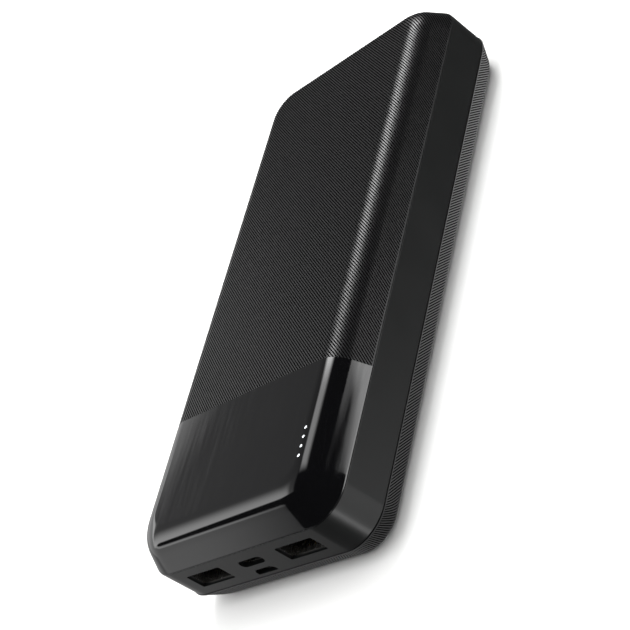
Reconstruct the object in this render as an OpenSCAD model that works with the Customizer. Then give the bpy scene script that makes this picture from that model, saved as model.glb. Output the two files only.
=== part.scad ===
// Two-cell power bank lying on its back: origin under the middle of the back face,
// +Z out of the front face, and the port end towards -Y.

/* [Case] */
// Width of the mid-frame across its long sides
case_w = 72; // [70:0.5:76]
// Length of the mid-frame from the port end to the far end
case_l = 157; // [154:1:165]
// Plan corner radius of the mid-frame
corner_r = 9.7; // [9.7:0.1:11]
// Height of the back cover
back_h = 7.3; // [7:0.1:8]
// Height of the mid-frame band
band_h = 11.3; // [11:0.1:12]
// Height of the front cover
front_h = 8.5; // [8:0.1:8.5]
// Wall thickness of the covers and the mid-frame
wall = 1.8; // [1.6:0.1:2]
// How far the back cover stands out past the mid-frame on each side
back_step = 0.2; // [0.1:0.05:0.4]

/* [Cover edges] */
// Lean of the front cover's flank from the vertical, in degrees
front_lean = 27; // [22:1:27]
// Radius between the front cover's flank and its flat face
front_fillet = 7.1; // [6.3:0.1:7.1]
// Lean of the back cover's flank from the vertical, in degrees
back_lean = 25; // [22:1:28]
// Radius between the back cover's flank and its flat face
back_fillet = 4; // [3:0.1:5]
// Depth of the lip that each cover pushes into the mid-frame
lip_h = 2; // [1:0.1:2.2]

/* [Ports] */
// Distance from the centre line to each wide charging socket
usb_a_x = 17.1; // [16.5:0.1:18]
// Height of the wide sockets' centres above the back seam
usb_a_rise = 5.8; // [5.6:0.1:6]
// Width of a wide socket's mouth
usb_a_w = 12.5; // [12.4:0.1:12.6]
// Height of a wide socket's mouth
usb_a_h = 5.12; // [5.1:0.01:5.2]
// Width of the oval socket's mouth
usb_c_w = 8.34; // [8.3:0.01:8.4]
// Height of the oval socket's mouth
usb_c_h = 2.56; // [2.5:0.01:2.6]
// Width of the small socket's mouth
micro_w = 6.85; // [6.8:0.05:7]
// Height of the small socket's mouth
micro_h = 1.8; // [1.75:0.05:1.9]
// Distance of the small socket's centre from the centre line, towards the right
micro_x = 0; // [-1:0.1:1]
// Thickness of the case wall in front of the sockets
port_wall = 1.3; // [1.1:0.1:1.5]

/* [Button] */
// Length of the power button along the case
button_l = 14; // [12:0.5:16]
// Height of the power button
button_h = 4; // [3.6:0.1:4.4]
// Gap all round the button in its hole
button_gap = 0.15; // [0.1:0.05:0.25]
// Travel of the button when it is pressed
button_travel = 0.4; // [0.2:0.05:0.5]
// Distance of the button's centre from the port end
button_from_port = 17; // [16:0.5:18]

/* [Charge lights] */
// Distance of the row of lights from the centre line
led_x = 28; // [27.5:0.1:28.5]
// Spacing of the lights along the case
led_pitch = 2.4; // [2.2:0.1:2.6]
// Distance of the row's middle from the port end
led_from_port = 17.3; // [17:0.1:18]
// Radius of each light window
led_r = 0.5; // [0.4:0.05:0.6]

/* [Board] */
// Thickness of the circuit board
board_t = 1.6; // [1.5:0.1:1.6]
// Length of the circuit board along the case
board_l = 28; // [27:0.5:29]
// Height of the board's underside above the back seam
board_rise = 3.45; // [3.3:0.05:3.5]

/* [Cells] */
// Width of each pouch cell
cell_w = 60; // [56:1:61]
// Length of each pouch cell
cell_l = 110; // [104:1:111]
// Thickness of each pouch cell
cell_t = 10; // [8:0.1:10.5]

/* [Hidden] */

$fn = 64;
back_seam = back_h;                     // plane between the back cover and the mid-frame
front_seam = back_h + band_h;           // plane between the mid-frame and the front cover
total_h = front_seam + front_h;
port_y = -case_l / 2;                   // outer face of the port end
socket_y = port_y + port_wall;          // where every socket's metal starts
cut = 1;                                // overrun of a cutting solid past a face
fillet_steps = 8;                       // flats that make up a cover's long fillet
lip_t = 1;                              // thickness of a cover's lip
lip_gap = 0.1;                          // gap between a lip and the mid-frame
lip_root = 1.2;                         // how far a lip reaches up inside its cover

board_z = back_seam + board_rise;       // underside of the board
board_top = board_z + board_t;
board_edge_gap = 0.6;                   // gap between the board and the mid-frame's long walls
board_front = socket_y + 0.9;           // front edge of the board
board_back = board_front + board_l;
board_w = case_w - 2 * wall - 2 * board_edge_gap;
post_x = board_w / 2 - 6.6;              // screw posts, across the case
post_front_y = board_front + 6.5;       // screw posts, along the case
post_back_y = board_back - 2.8;
post_r = 2.2;
screw_r = 0.9;
screw_gap = 0.05;

window_gap = 0.2;                       // how far a wide window clears its socket's mouth all round
usb_a_z = back_seam + usb_a_rise;
usb_a_t = 0.3;                          // sheet thickness of a wide socket's shell
usb_a_l = 14;
usb_c_t = 0.3;
usb_c_l = 7.3;
usb_c_z = board_top + usb_c_h / 2 + usb_c_t;
micro_t = 0.25;
micro_l = 5.2;
micro_z = board_z - micro_h / 2 - micro_t;
tongue_back = 1.6;                      // depth of the block that closes a socket's rear

switch_w = 3.2;                         // switch body across the case
switch_l = 7;                           // switch body along the case
switch_h = 3;
plunger_out = button_travel + 0.8;      // how far the plunger stands out of the switch
button_y = port_y + button_from_port;
button_z = back_seam + band_h / 2;
button_face_x = -case_w / 2 - back_step;
button_flange = 0.8;                    // thickness and overhang of the button's retaining flange
flange_gap = 0.1;                       // gap between the flange and the inside of the wall
plunger_tip_x = -case_w / 2 + wall + 2.5;
switch_face_x = plunger_tip_x + plunger_out;

led_y = port_y + led_from_port;
led_count = 4;
led_chip_h = 0.6;
guide_w = 1.6;                          // width of the light guide's bar
guide_shoulder = total_h - wall - 0.6;  // where the guide's pins leave its bar
shroud_t = 0.7;
shroud_h = 9.4;

divider_t = 0.3;
foam_t = (total_h - 2 * wall - 2 * cell_t - divider_t) / 2;
cell_back_gap = 4.2;                    // gap between the cells and the far end wall
cell_y = case_l / 2 - wall - cell_back_gap - cell_l / 2;
cell_head = cell_y - cell_l / 2;        // end of the cells that carries the tabs
lower_cell_z = wall + foam_t;
upper_cell_z = lower_cell_z + cell_t + divider_t;
tab_x = 15;
tab_w = 8;
tab_l = 3.5;
tab_t = 0.2;
lead_r = 0.9;
lead_z = board_top + 6;
lead_end_y = board_back - 2.5;          // where the cells' leads meet the board
sensor_end_y = board_back - 1;
barrier_y = (board_back + cell_head - tab_l) / 2;
sensor_r = 1.2;

// ---- Shared shapes ----

// Edge of a cover as [distance in from the side, height]: a leaning flank, then a fillet to the flat.
function cover_edge(height, lean, fillet) =
    let (flank_top = height - fillet * (1 - sin(lean)),
         centre_in = flank_top * tan(lean) + fillet * cos(lean))
    [for (i = [0 : fillet_steps])
        let (a = lean + (90 - lean) * i / fillet_steps)
        [centre_in - fillet * cos(a), height + fillet * (sin(a) - 1)]];

// Rectangle with round corners, centred.
module round_rect(w, l, r) {
    square([w - 2 * r, l], center = true);
    square([w, l - 2 * r], center = true);
    for (x = [-1, 1], y = [-1, 1])
        translate([x * (w / 2 - r), y * (l / 2 - r)]) circle(r);
}

// Upright block with a round-cornered plan, from z to z + h.
module round_block(w, l, r, z, h) {
    translate([0, 0, z]) linear_extrude(h) round_rect(w, l, r);
}

// Sweep of a section, as [distance in from the side, height], round a round-cornered plan.
module sweep_round(w, l, r, section) {
    for (quarter = [0 : 3]) {
        side = quarter % 2 == 0 ? w : l;
        run = quarter % 2 == 0 ? l : w;
        rotate(90 * quarter) {
            translate([side / 2, 0, 0]) rotate([90, 0, 0])
                linear_extrude(run - 2 * r, center = true) polygon([for (p = section) [-p[0], p[1]]]);
            translate([side / 2 - r, run / 2 - r, 0])
                rotate_extrude(angle = 90) polygon([for (p = section) [r - p[0], p[1]]]);
        }
    }
}

// Hollow cover that stands out past the mid-frame by step, opening downwards, with a lip below its rim.
module cover(step, height, lean, fillet) {
    r = corner_r + step;
    outside = cover_edge(height, lean, fillet);
    inside = cover_edge(height - wall, lean, fillet - wall);
    lip_out = step + wall + lip_gap;
    lip_in = lip_out + lip_t;
    section = concat([[0, 0]], outside, [[r, height], [r, height - wall]],
                     [for (i = [fillet_steps : -1 : 0]) [inside[i][0] + wall, inside[i][1]]],
                     [[wall + lip_root * tan(lean), lip_root], [lip_in, lip_root],
                      [lip_in, -lip_h], [lip_out, -lip_h], [lip_out, 0]]);
    sweep_round(case_w + 2 * step, case_l + 2 * step, r, section);
    part_box(0, 0, height - wall, [case_w + 2 * (step - r), case_l + 2 * (step - r), wall]);
}

// Extrusion along +Y from y of a shape drawn in X and Z.
module along_y(y, l) {
    translate([0, y + l, 0]) rotate([90, 0, 0]) linear_extrude(l) children();
}

// Box from its centre in X and Y, its base z and its size.
module part_box(x, y, z, size) {
    translate([x - size[0] / 2, y - size[1] / 2, z]) cube(size);
}

module usb_a_outline(grow) { round_rect(usb_a_w + 2 * grow, usb_a_h + 2 * grow, 0.4 + grow); }
module usb_c_outline(grow) { round_rect(usb_c_w + 2 * grow, usb_c_h + 2 * grow, usb_c_h / 2 + grow - 0.01); }

// The small socket's outline: a rectangle with its two corners nearest the board cut off.
module micro_outline(grow) {
    w = micro_w / 2 + grow;
    h = micro_h / 2 + grow;
    slope = 0.9;
    polygon([[-w, -h], [w, -h], [w, h - slope], [w - slope, h], [slope - w, h], [-w, h - slope]]);
}

module button_outline(grow) {
    round_rect(button_l + 2 * grow, button_h + 2 * grow, button_h / 2 + grow - 0.01);
}

module at_posts() {
    for (x = [-post_x, post_x], y = [post_front_y, post_back_y]) translate([x, y, 0]) children();
}

// ---- Case ----

module front_cover() {
    color("#1b1c1e") difference() {
        translate([0, 0, front_seam]) cover(0, front_h, front_lean, front_fillet);
        for (i = [0 : led_count - 1])
            translate([led_x, led_y + (i - (led_count - 1) / 2) * led_pitch, total_h - wall - cut])
                cylinder(h = wall + 2 * cut, r = led_r + 0.05);
    }
}

module back_cover() {
    color("#1d1e20") difference() {
        union() {
            translate([0, 0, back_seam]) mirror([0, 0, 1]) cover(back_step, back_h, back_lean, back_fillet);
            at_posts() translate([0, 0, wall / 2]) cylinder(h = board_z - wall / 2, r = post_r);
        }
        at_posts() translate([0, 0, board_z - 5]) cylinder(h = 5 + cut, r = screw_r + screw_gap);
        // notch in the lip under the small socket
        part_box(micro_x, port_y + 3.5, back_seam + 0.2, [micro_w + 3, 4, lip_h + cut]);
    }
}

module mid_frame() {
    inner_w = case_w - 2 * wall;
    inner_l = case_l - 2 * wall;
    color("#202124") difference() {
        round_block(case_w, case_l, corner_r, back_seam, band_h);
        round_block(inner_w, inner_l, corner_r - wall, back_seam - cut, band_h + 2 * cut);
        // pocket that thins the wall behind the sockets
        part_box(0, socket_y + cut, back_seam + 1, [2 * usb_a_x + usb_a_w + 4, 2 * cut, band_h - 3]);
        for (x = [-usb_a_x, usb_a_x])
            translate([x, 0, usb_a_z]) along_y(port_y - cut, port_wall + 2 * cut) usb_a_outline(window_gap);
        translate([0, 0, usb_c_z]) along_y(port_y - cut, port_wall + 2 * cut) usb_c_outline(0.05);
        translate([micro_x, 0, micro_z]) along_y(port_y - cut, port_wall + 2 * cut) micro_outline(0.1);
        translate([-case_w / 2 - cut, button_y, button_z]) rotate([90, 0, 90])
            linear_extrude(wall + 2 * cut) button_outline(button_gap);
    }
}

module power_button() {
    flange_x = -case_w / 2 + wall + flange_gap;
    cap_l = flange_x - button_face_x;
    color("#26272a") {
        translate([button_face_x, button_y, button_z]) rotate([90, 0, 90])
            linear_extrude(cap_l + button_flange / 2) button_outline(0);
        translate([flange_x + button_flange / 2, button_y, button_z])
            cube([button_flange, button_l + 2 * button_flange, button_h + 2 * button_flange], center = true);
        // foot that meets the switch's plunger
        foot_l = plunger_tip_x - flange_x;
        translate([flange_x + foot_l / 2, button_y, board_top + switch_h / 2])
            cube([foot_l, 3, 1.8], center = true);
    }
}

// ---- Charge lights ----

module light_guide() {
    bar_z = board_top + led_chip_h + 0.6;
    color("#e8f0f4") {
        part_box(led_x, led_y, bar_z, [guide_w, led_count * led_pitch, guide_shoulder - bar_z]);
        for (i = [0 : led_count - 1])
            translate([led_x, led_y + (i - (led_count - 1) / 2) * led_pitch, guide_shoulder - 0.1])
                cylinder(h = total_h - 0.15 - guide_shoulder + 0.1, r = led_r);
    }
}

module light_shroud() {
    inner_w = guide_w + 0.1;
    inner_l = led_count * led_pitch + 0.1;
    color("#0d0d0e") difference() {
        part_box(led_x, led_y, board_top, [inner_w + 2 * shroud_t, inner_l + 2 * shroud_t, shroud_h]);
        part_box(led_x, led_y, board_top - cut, [inner_w, inner_l, shroud_h + 2 * cut]);
    }
}

module charge_lights() {
    color("white") for (i = [0 : led_count - 1])
        part_box(led_x, led_y + (i - (led_count - 1) / 2) * led_pitch, board_top, [1.6, 0.8, led_chip_h]);
}

// ---- Circuit board ----

module main_board() {
    mid_y = (board_front + board_back) / 2;
    slot_l = socket_y + usb_a_l + 0.3 - board_front;
    slot_w = usb_a_w + 2 * usb_a_t + 0.4;
    color("#16402a") difference() {
        translate([0, mid_y, board_z]) linear_extrude(board_t) round_rect(board_w, board_l, 7);
        for (x = [-usb_a_x, usb_a_x])
            part_box(x, board_front + slot_l / 2 - cut, board_z - cut,
                     [slot_w, slot_l + 2 * cut, board_t + 2 * cut]);
        // room for the button's flange
        part_box(-board_w / 2, button_y, board_z - cut, [3.2, button_l + 3, board_t + 2 * cut]);
        at_posts() translate([0, 0, board_z - cut]) cylinder(h = board_t + 2 * cut, r = screw_r + 0.2);
    }
}

module board_screws() {
    color("silver") at_posts() {
        translate([0, 0, board_z - 4]) cylinder(h = 4 + board_t, r = screw_r);
        translate([0, 0, board_top]) difference() {
            cylinder(h = 1.2, r = 1.8);
            // cross recess
            for (a = [0, 90]) rotate(a) translate([-1, -0.2, 0.5]) cube([2, 0.4, cut]);
        }
    }
}

module controller_chip() {
    color("#151515") part_box(-6, board_back - 8.5, board_top, [6, 6, 0.9]);
}

module protection_chip() {
    color("#151515") part_box(-12.5, board_back - 8.5, board_top, [3, 3, 1.1]);
}

module power_inductor() {
    color("#3a3a3c") difference() {
        part_box(5, board_back - 8.5, board_top, [8, 8, 4.2]);
        // bevelled corners
        for (a = [0 : 3])
            translate([5, board_back - 8.5, board_top - cut]) rotate(45 + 90 * a)
                translate([4.8, -4, 0]) cube([4, 8, 4.2 + 2 * cut]);
    }
}

module power_transistors() {
    color("#1a1a1b") for (x = [-18, -24]) part_box(x, board_back - 8.5, board_top, [5, 6, 1.5]);
}

module polymer_capacitors() {
    color("#c9ccd0") for (x = [14.2, 21.8])
        translate([x, board_back - 9, board_top]) {
            translate([0, 0, 0.6]) cylinder(h = 7, r = 3.15);
            translate([-3.3, -3.3, 0]) cube([6.6, 6.6, 0.6]);
        }
}

module ceramic_capacitors() {
    color("#a58a64") {
        for (i = [0 : 4]) part_box(-6 + 3 * i, board_back - 14.6, board_top, [1.6, 3.2, 1.2]);
        for (x = [-23, -19.4]) part_box(x, board_back - 3, board_top, [3.2, 1.6, 1.2]);
    }
}

module chip_resistors() {
    color("#2b2b2e") {
        for (i = [0 : 5]) part_box(-7 + 2.2 * i, board_back - 3, board_top, [0.8, 1.6, 0.5]);
        for (i = [0 : 3]) part_box(-12.8 + 1.6 * i, board_back - 12.5, board_top, [0.8, 1.6, 0.5]);
    }
}

// ---- Sockets ----

module usb_a_shell(x) {
    color("silver") translate([x, 0, usb_a_z]) difference() {
        along_y(socket_y, usb_a_l) usb_a_outline(usb_a_t);
        along_y(socket_y - cut, usb_a_l + 2 * cut) usb_a_outline(0);
        // slits on both sides of the spring fingers, in the upper and lower walls
        for (s = [-3.2, 3.2], e = [-1, 1])
            translate([s + e * 1.1 - 0.15, socket_y + 3, -usb_a_h]) cube([0.3, 6, 2 * usb_a_h]);
        for (s = [-3.2, 3.2])
            translate([s - 1.25, socket_y + 8.9, -usb_a_h]) cube([2.5, 0.3, 2 * usb_a_h]);
    }
}

module usb_a_tongue(x) {
    tongue_y = socket_y + 2.5;
    color("#111112") translate([x, 0, usb_a_z]) {
        translate([-5.55, tongue_y, 0.04]) cube([11.1, usb_a_l - 2.5 - 0.5, 1.84]);
        along_y(socket_y + usb_a_l - tongue_back, tongue_back) usb_a_outline(-0.05);
    }
}

module usb_a_contacts(x) {
    color("gold") translate([x, 0, usb_a_z])
        for (s = [-3.5, -1, 1, 3.5])
            translate([s - 0.5, socket_y + 3.5, -0.16]) cube([1, usb_a_l - 3.5 - tongue_back, 0.2]);
}

module usb_c_shell() {
    color("silver") translate([0, 0, usb_c_z]) difference() {
        along_y(socket_y, usb_c_l) usb_c_outline(usb_c_t);
        along_y(socket_y - cut, usb_c_l + 2 * cut) usb_c_outline(0);
    }
}

module usb_c_tongue() {
    color("#111112") translate([0, 0, usb_c_z]) {
        translate([-3.35, socket_y + 1, -0.35]) cube([6.7, usb_c_l - 1.5, 0.7]);
        along_y(socket_y + usb_c_l - tongue_back, tongue_back) usb_c_outline(-0.05);
    }
}

module usb_c_contacts() {
    color("gold") translate([0, 0, usb_c_z])
        for (i = [0 : 11], z = [-0.43, 0.35])
            translate([(i - 5.5) * 0.5 - 0.13, socket_y + 1.6, z])
                cube([0.26, usb_c_l - 1.6 - tongue_back, 0.08]);
}

module micro_usb_shell() {
    color("silver") translate([micro_x, 0, micro_z]) difference() {
        along_y(socket_y, micro_l) micro_outline(micro_t);
        along_y(socket_y - cut, micro_l + 2 * cut) micro_outline(0);
    }
}

module micro_usb_tongue() {
    color("#111112") translate([micro_x, 0, micro_z]) {
        translate([-1.85, socket_y + 0.8, -0.05]) cube([3.7, micro_l - 1.2, 0.6]);
        along_y(socket_y + micro_l - 1, 1) micro_outline(-0.05);
    }
}

module micro_usb_contacts() {
    color("gold") translate([micro_x, 0, micro_z])
        for (i = [-2 : 2])
            translate([i * 0.65 - 0.18, socket_y + 1.2, -0.13]) cube([0.36, micro_l - 2.2, 0.08]);
}

// ---- Power switch ----

module switch_base() {
    color("#1a1a1a") difference() {
        part_box(switch_face_x + switch_w / 2, button_y, board_top, [switch_w, switch_l, switch_h]);
        // guide slot of the plunger
        translate([switch_face_x - cut, button_y - 1.4, board_top + switch_h / 2 - 0.85])
            cube([cut + 2, 2.8, 1.7]);
    }
}

module switch_cover() {
    sheet = 0.2;
    color("silver") difference() {
        part_box(switch_face_x + switch_w / 2 + sheet / 2, button_y, board_top + switch_h,
                 [switch_w + sheet, switch_l, sheet]);
        part_box(switch_face_x + switch_w / 2, button_y, board_top + switch_h - cut, [1, 1, 2 * cut]);
    }
    color("silver") part_box(switch_face_x + switch_w + sheet / 2, button_y, board_top,
                             [sheet, switch_l, switch_h + sheet / 2]);
}

module switch_plunger() {
    color("#3b3b3b") translate([plunger_tip_x, button_y - 1.3, board_top + switch_h / 2 - 0.75])
        cube([plunger_out + 1.2, 2.6, 1.5]);
}

// ---- Cells ----

module pouch_cell(z) {
    translate([0, 0, z + cell_t / 2]) along_y(cell_y - cell_l / 2, cell_l) round_rect(cell_w, cell_t, 3);
}

module cell_lower() { color("#b8bcc2") pouch_cell(lower_cell_z); }
module cell_upper() { color("#b8bcc2") pouch_cell(upper_cell_z); }

module cell_divider_tape() {
    color("#e9e5d8") part_box(0, cell_y, lower_cell_z + cell_t, [cell_w - 12, cell_l - 10, divider_t]);
}

module lower_foam_pad() { color("#303236") part_box(0, cell_y, wall, [cell_w - 14, cell_l - 16, foam_t]); }

module upper_foam_pad() {
    color("#303236") part_box(0, cell_y, upper_cell_z + cell_t, [cell_w - 14, cell_l - 16, foam_t]);
}

// Tab of one pole: a strip from each cell, joined by an upright strip.
module pole_tab(x) {
    low = lower_cell_z + cell_t / 2;
    high = upper_cell_z + cell_t / 2;
    for (z = [low, high]) part_box(x, cell_head - tab_l / 2, z - tab_t / 2, [tab_w, tab_l, tab_t]);
    part_box(x, cell_head - tab_l, low - tab_t / 2, [tab_w, tab_t, high - low + tab_t]);
}

// Insulated lead from an upright strip, over the barrier and down to the board.
module lead(x) {
    start_y = cell_head - tab_l - tab_t / 2;
    translate([x, lead_end_y, lead_z]) rotate([-90, 0, 0]) cylinder(h = start_y - lead_end_y, r = lead_r);
    translate([x, lead_end_y, lead_z]) sphere(lead_r);
    translate([x, lead_end_y, board_top]) cylinder(h = lead_z - board_top, r = lead_r);
}

module positive_tab() { color("#d8d2c0") pole_tab(-tab_x); }
module negative_tab() { color("#d8d2c0") pole_tab(tab_x); }
module positive_lead() { color("#b3261e") lead(-tab_x); }
module negative_lead() { color("#141414") lead(tab_x); }

module temperature_sensor() {
    z = upper_cell_z + cell_t / 2;
    color("#1c2f5a") {
        translate([0, cell_head - sensor_r, z]) sphere(sensor_r);
        for (x = [-0.5, 0.5]) {
            translate([x, sensor_end_y, z]) rotate([-90, 0, 0])
                cylinder(h = cell_head - sensor_r - lead_end_y - 3, r = 0.3);
            translate([x, sensor_end_y, z]) sphere(0.3);
            translate([x, sensor_end_y, board_top]) cylinder(h = z - board_top, r = 0.3);
        }
    }
}

module insulating_barrier() {
    color("#d9d2bd") part_box(0, barrier_y, wall + 1, [cell_w - 6, 0.4, lead_z - lead_r - wall - 1.6]);
}

front_cover();
back_cover();
mid_frame();
power_button();
light_guide();
light_shroud();
charge_lights();
main_board();
board_screws();
usb_a_shell(-usb_a_x);  // usb_a_shell_left
usb_a_tongue(-usb_a_x);  // usb_a_tongue_left
usb_a_contacts(-usb_a_x);  // usb_a_contacts_left
usb_a_shell(usb_a_x);  // usb_a_shell_right
usb_a_tongue(usb_a_x);  // usb_a_tongue_right
usb_a_contacts(usb_a_x);  // usb_a_contacts_right
usb_c_shell();
usb_c_tongue();
usb_c_contacts();
micro_usb_shell();
micro_usb_tongue();
micro_usb_contacts();
switch_base();
switch_cover();
switch_plunger();
controller_chip();
protection_chip();
power_inductor();
power_transistors();
polymer_capacitors();
ceramic_capacitors();
chip_resistors();
cell_lower();
cell_upper();
cell_divider_tape();
lower_foam_pad();
upper_foam_pad();
positive_tab();
negative_tab();
positive_lead();
negative_lead();
temperature_sensor();
insulating_barrier();
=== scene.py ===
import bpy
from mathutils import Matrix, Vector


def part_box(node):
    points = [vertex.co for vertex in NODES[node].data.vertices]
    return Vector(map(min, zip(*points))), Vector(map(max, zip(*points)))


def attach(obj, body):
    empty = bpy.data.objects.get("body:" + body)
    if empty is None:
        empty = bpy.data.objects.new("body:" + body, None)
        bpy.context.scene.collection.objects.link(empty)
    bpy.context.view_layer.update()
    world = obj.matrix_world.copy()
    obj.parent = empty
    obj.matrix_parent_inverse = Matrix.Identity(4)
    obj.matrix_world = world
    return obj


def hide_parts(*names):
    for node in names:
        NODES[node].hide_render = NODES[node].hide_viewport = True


bl_info = {
    "name": "Power bank looks",
    "version": (1, 0, 0),
    "blender": (4, 5, 0),
    "location": "View3D > Sidebar > Power bank",
    "description": "Builds the covers, mid-frame, button and finishes of a ribbed power bank around its packed frame",
    "category": "Object",
}

import math
from types import SimpleNamespace

import bpy
import numpy as np
from mathutils import Matrix, Vector

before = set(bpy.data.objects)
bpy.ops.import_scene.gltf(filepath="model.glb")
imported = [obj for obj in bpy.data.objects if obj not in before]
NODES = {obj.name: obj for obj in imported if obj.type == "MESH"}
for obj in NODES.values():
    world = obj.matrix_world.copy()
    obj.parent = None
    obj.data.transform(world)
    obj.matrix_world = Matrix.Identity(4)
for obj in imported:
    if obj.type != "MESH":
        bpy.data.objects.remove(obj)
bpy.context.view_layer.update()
MM = 0.001

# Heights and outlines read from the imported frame, in millimetres.
MID_LOW, MID_HIGH = (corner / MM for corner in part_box("mid_frame"))
BACK_LOW, BACK_HIGH = (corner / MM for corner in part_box("back_cover"))
FRONT_LOW, FRONT_HIGH = (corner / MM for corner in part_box("front_cover"))
BACK_SEAM = MID_LOW.z
FRONT_SEAM = MID_HIGH.z
FRONT_TOP = FRONT_HIGH.z


# Sizes that a user is unlikely to change, in millimetres.
RIB_RAMP = 0.12  # length over which a rib's end falls to the plain surface
SEAM_RING = 0.45  # plain ring beside a seam
SEAM_EDGE = 0.18  # softened edge of a cover at its seam
FILLET_STEPS = 10  # facets across a cover's fillet
LIGHT_COUNT = 4
LIGHT_PITCH = 2.4
LIGHT_HOLE = 0.42  # radius
FRAME_WALL = 1.8  # thickness of the mid-frame's band
PORT_WALL = 1.3  # thickness of the band in front of the sockets
FRAME_EDGE = 0.25  # softened edges of the band
POCKET_HALF = 25.3  # half the width of the thinned wall behind the sockets
BUTTON_GAP = 0.15  # between the button and its hole
BUTTON_FLANGE = 0.8  # overhang and thickness of the button's flange
BUTTON_EDGE = 0.45  # softened rim of the button's face
LIP_DEPTH = 0.45  # depth of the rolled lip of a wide socket
SHELL_SHEET = 0.3  # thickness of a wide socket's sheet
MOUTH_INSET = 0.11  # how far a lip lies inside its shell's outline
MOUTH_EDGE = 0.06  # softened front edge of a lip
HAIR = 1e-3  # slack when places are compared
IN_GROOVE = 0.2  # share of the depth past which a face counts as groove, and gets the painted groove shade
CUT_SLACK = 1e-7  # slack of a cut, in metres


def linear(code):
    """Linear RGBA of an sRGB hex colour."""
    levels = [int(code[i : i + 2], 16) / 255 for i in (0, 2, 4)]
    return tuple(v / 12.92 if v <= 0.04045 else ((v + 0.055) / 1.055) ** 2.4 for v in levels) + (1.0,)


# ---- Settings ----


class PowerBankShape(bpy.types.PropertyGroup):
    """Sizes of the visible shells."""

    rib_pitch: bpy.props.FloatProperty(
        name="Rib pitch", description="Distance from one rib to the next",
        default=0.617 * MM, min=0.3 * MM, max=2 * MM, precision=5, subtype="DISTANCE", unit="LENGTH",
    )
    groove_width: bpy.props.FloatProperty(
        name="Groove width", description="Width of the groove between two ribs, as a share of the pitch",
        default=0.5, min=0.2, max=0.8, subtype="FACTOR",
    )
    groove_depth: bpy.props.FloatProperty(
        name="Groove depth", description="Depth of the grooves between the ribs",
        default=0.22 * MM, min=0.02 * MM, max=0.3 * MM, precision=5, subtype="DISTANCE", unit="LENGTH",
    )
    rib_angle: bpy.props.FloatProperty(
        name="Rib direction", description="Direction of the ribs in plan, from +X",
        default=math.radians(133), subtype="ANGLE", unit="ROTATION",
    )
    gloss_edge: bpy.props.FloatProperty(
        name="Gloss edge", description="Where the gloss end meets the ribs, from the middle",
        default=-39.4 * MM, precision=4, subtype="DISTANCE", unit="LENGTH",
    )
    front_lean: bpy.props.FloatProperty(
        name="Front lean", description="Lean of the front cover's flank from the vertical",
        default=math.radians(27), subtype="ANGLE", unit="ROTATION",
    )
    front_fillet: bpy.props.FloatProperty(
        name="Front fillet", description="Radius between the front flank and the flat face",
        default=7.1 * MM, precision=4, subtype="DISTANCE", unit="LENGTH",
    )
    front_corner: bpy.props.FloatProperty(
        name="Front flat corner", description="Plan corner radius of the flat front face",
        default=5.3 * MM, precision=4, subtype="DISTANCE", unit="LENGTH",
    )
    back_lean: bpy.props.FloatProperty(
        name="Back lean", description="Lean of the back cover's flank from the vertical",
        default=math.radians(25), subtype="ANGLE", unit="ROTATION",
    )
    back_fillet: bpy.props.FloatProperty(
        name="Back fillet", description="Radius between the back flank and the back face",
        default=4.0 * MM, precision=4, subtype="DISTANCE", unit="LENGTH",
    )
    back_corner: bpy.props.FloatProperty(
        name="Back flat corner", description="Plan corner radius of the back face",
        default=6.5 * MM, precision=4, subtype="DISTANCE", unit="LENGTH",
    )
    seam_corner: bpy.props.FloatProperty(
        name="Seam corner", description="Plan corner radius at the seams",
        default=9.44 * MM, precision=5, subtype="DISTANCE", unit="LENGTH",
    )
    wall: bpy.props.FloatProperty(
        name="Wall", description="Thickness of the covers",
        default=1.6 * MM, precision=4, subtype="DISTANCE", unit="LENGTH",
    )


class PowerBankFinish(bpy.types.PropertyGroup):
    """Colours of the main finishes."""

    ribbed: bpy.props.FloatVectorProperty(
        name="Ribbed covers", description="Colour of the ribbed plastic",
        default=linear("101011"), size=4, subtype="COLOR", min=0, max=1,
    )
    gloss: bpy.props.FloatVectorProperty(
        name="Gloss end", description="Colour of the polished end",
        default=linear("050506"), size=4, subtype="COLOR", min=0, max=1,
    )
    satin: bpy.props.FloatVectorProperty(
        name="Mid-frame", description="Colour of the satin band",
        default=linear("090a0a"), size=4, subtype="COLOR", min=0, max=1,
    )
    floor: bpy.props.FloatVectorProperty(
        name="Floor", description="Colour of the floor",
        default=linear("f4f4f3"), size=4, subtype="COLOR", min=0, max=1,
    )


def in_mm(shape):
    """The shape settings as plain numbers, with every length in millimetres."""
    sizes = {}
    for key, setting in shape.bl_rna.properties.items():
        if setting.type == "FLOAT":
            sizes[key] = getattr(shape, key) / (MM if setting.unit == "LENGTH" else 1)
    return SimpleNamespace(**sizes)


def box_mm(node):
    """Lowest and highest corners of a CAD node, in millimetres."""
    return tuple(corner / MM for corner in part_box(node))


# ---- Mesh making ----


def alone(piece):
    """Leaves only this piece selected and active."""
    bpy.ops.object.select_all(action="DESELECT")
    piece.select_set(True)
    bpy.context.view_layer.objects.active = piece


def settle(piece, name):
    """Puts a piece's place into its mesh and names it."""
    alone(piece)
    bpy.ops.object.transform_apply(location=True, rotation=True, scale=True)
    piece.name = piece.data.name = name
    return piece


def places(piece):
    """Vertex places of a piece, in millimetres."""
    spots = np.empty(len(piece.data.vertices) * 3)
    piece.data.vertices.foreach_get("co", spots)
    return spots.reshape(-1, 3) / MM


def move_to(piece, spots):
    """Moves a piece's vertices to new places, in millimetres."""
    piece.data.vertices.foreach_set("co", (spots * MM).ravel())
    piece.data.update()


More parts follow.
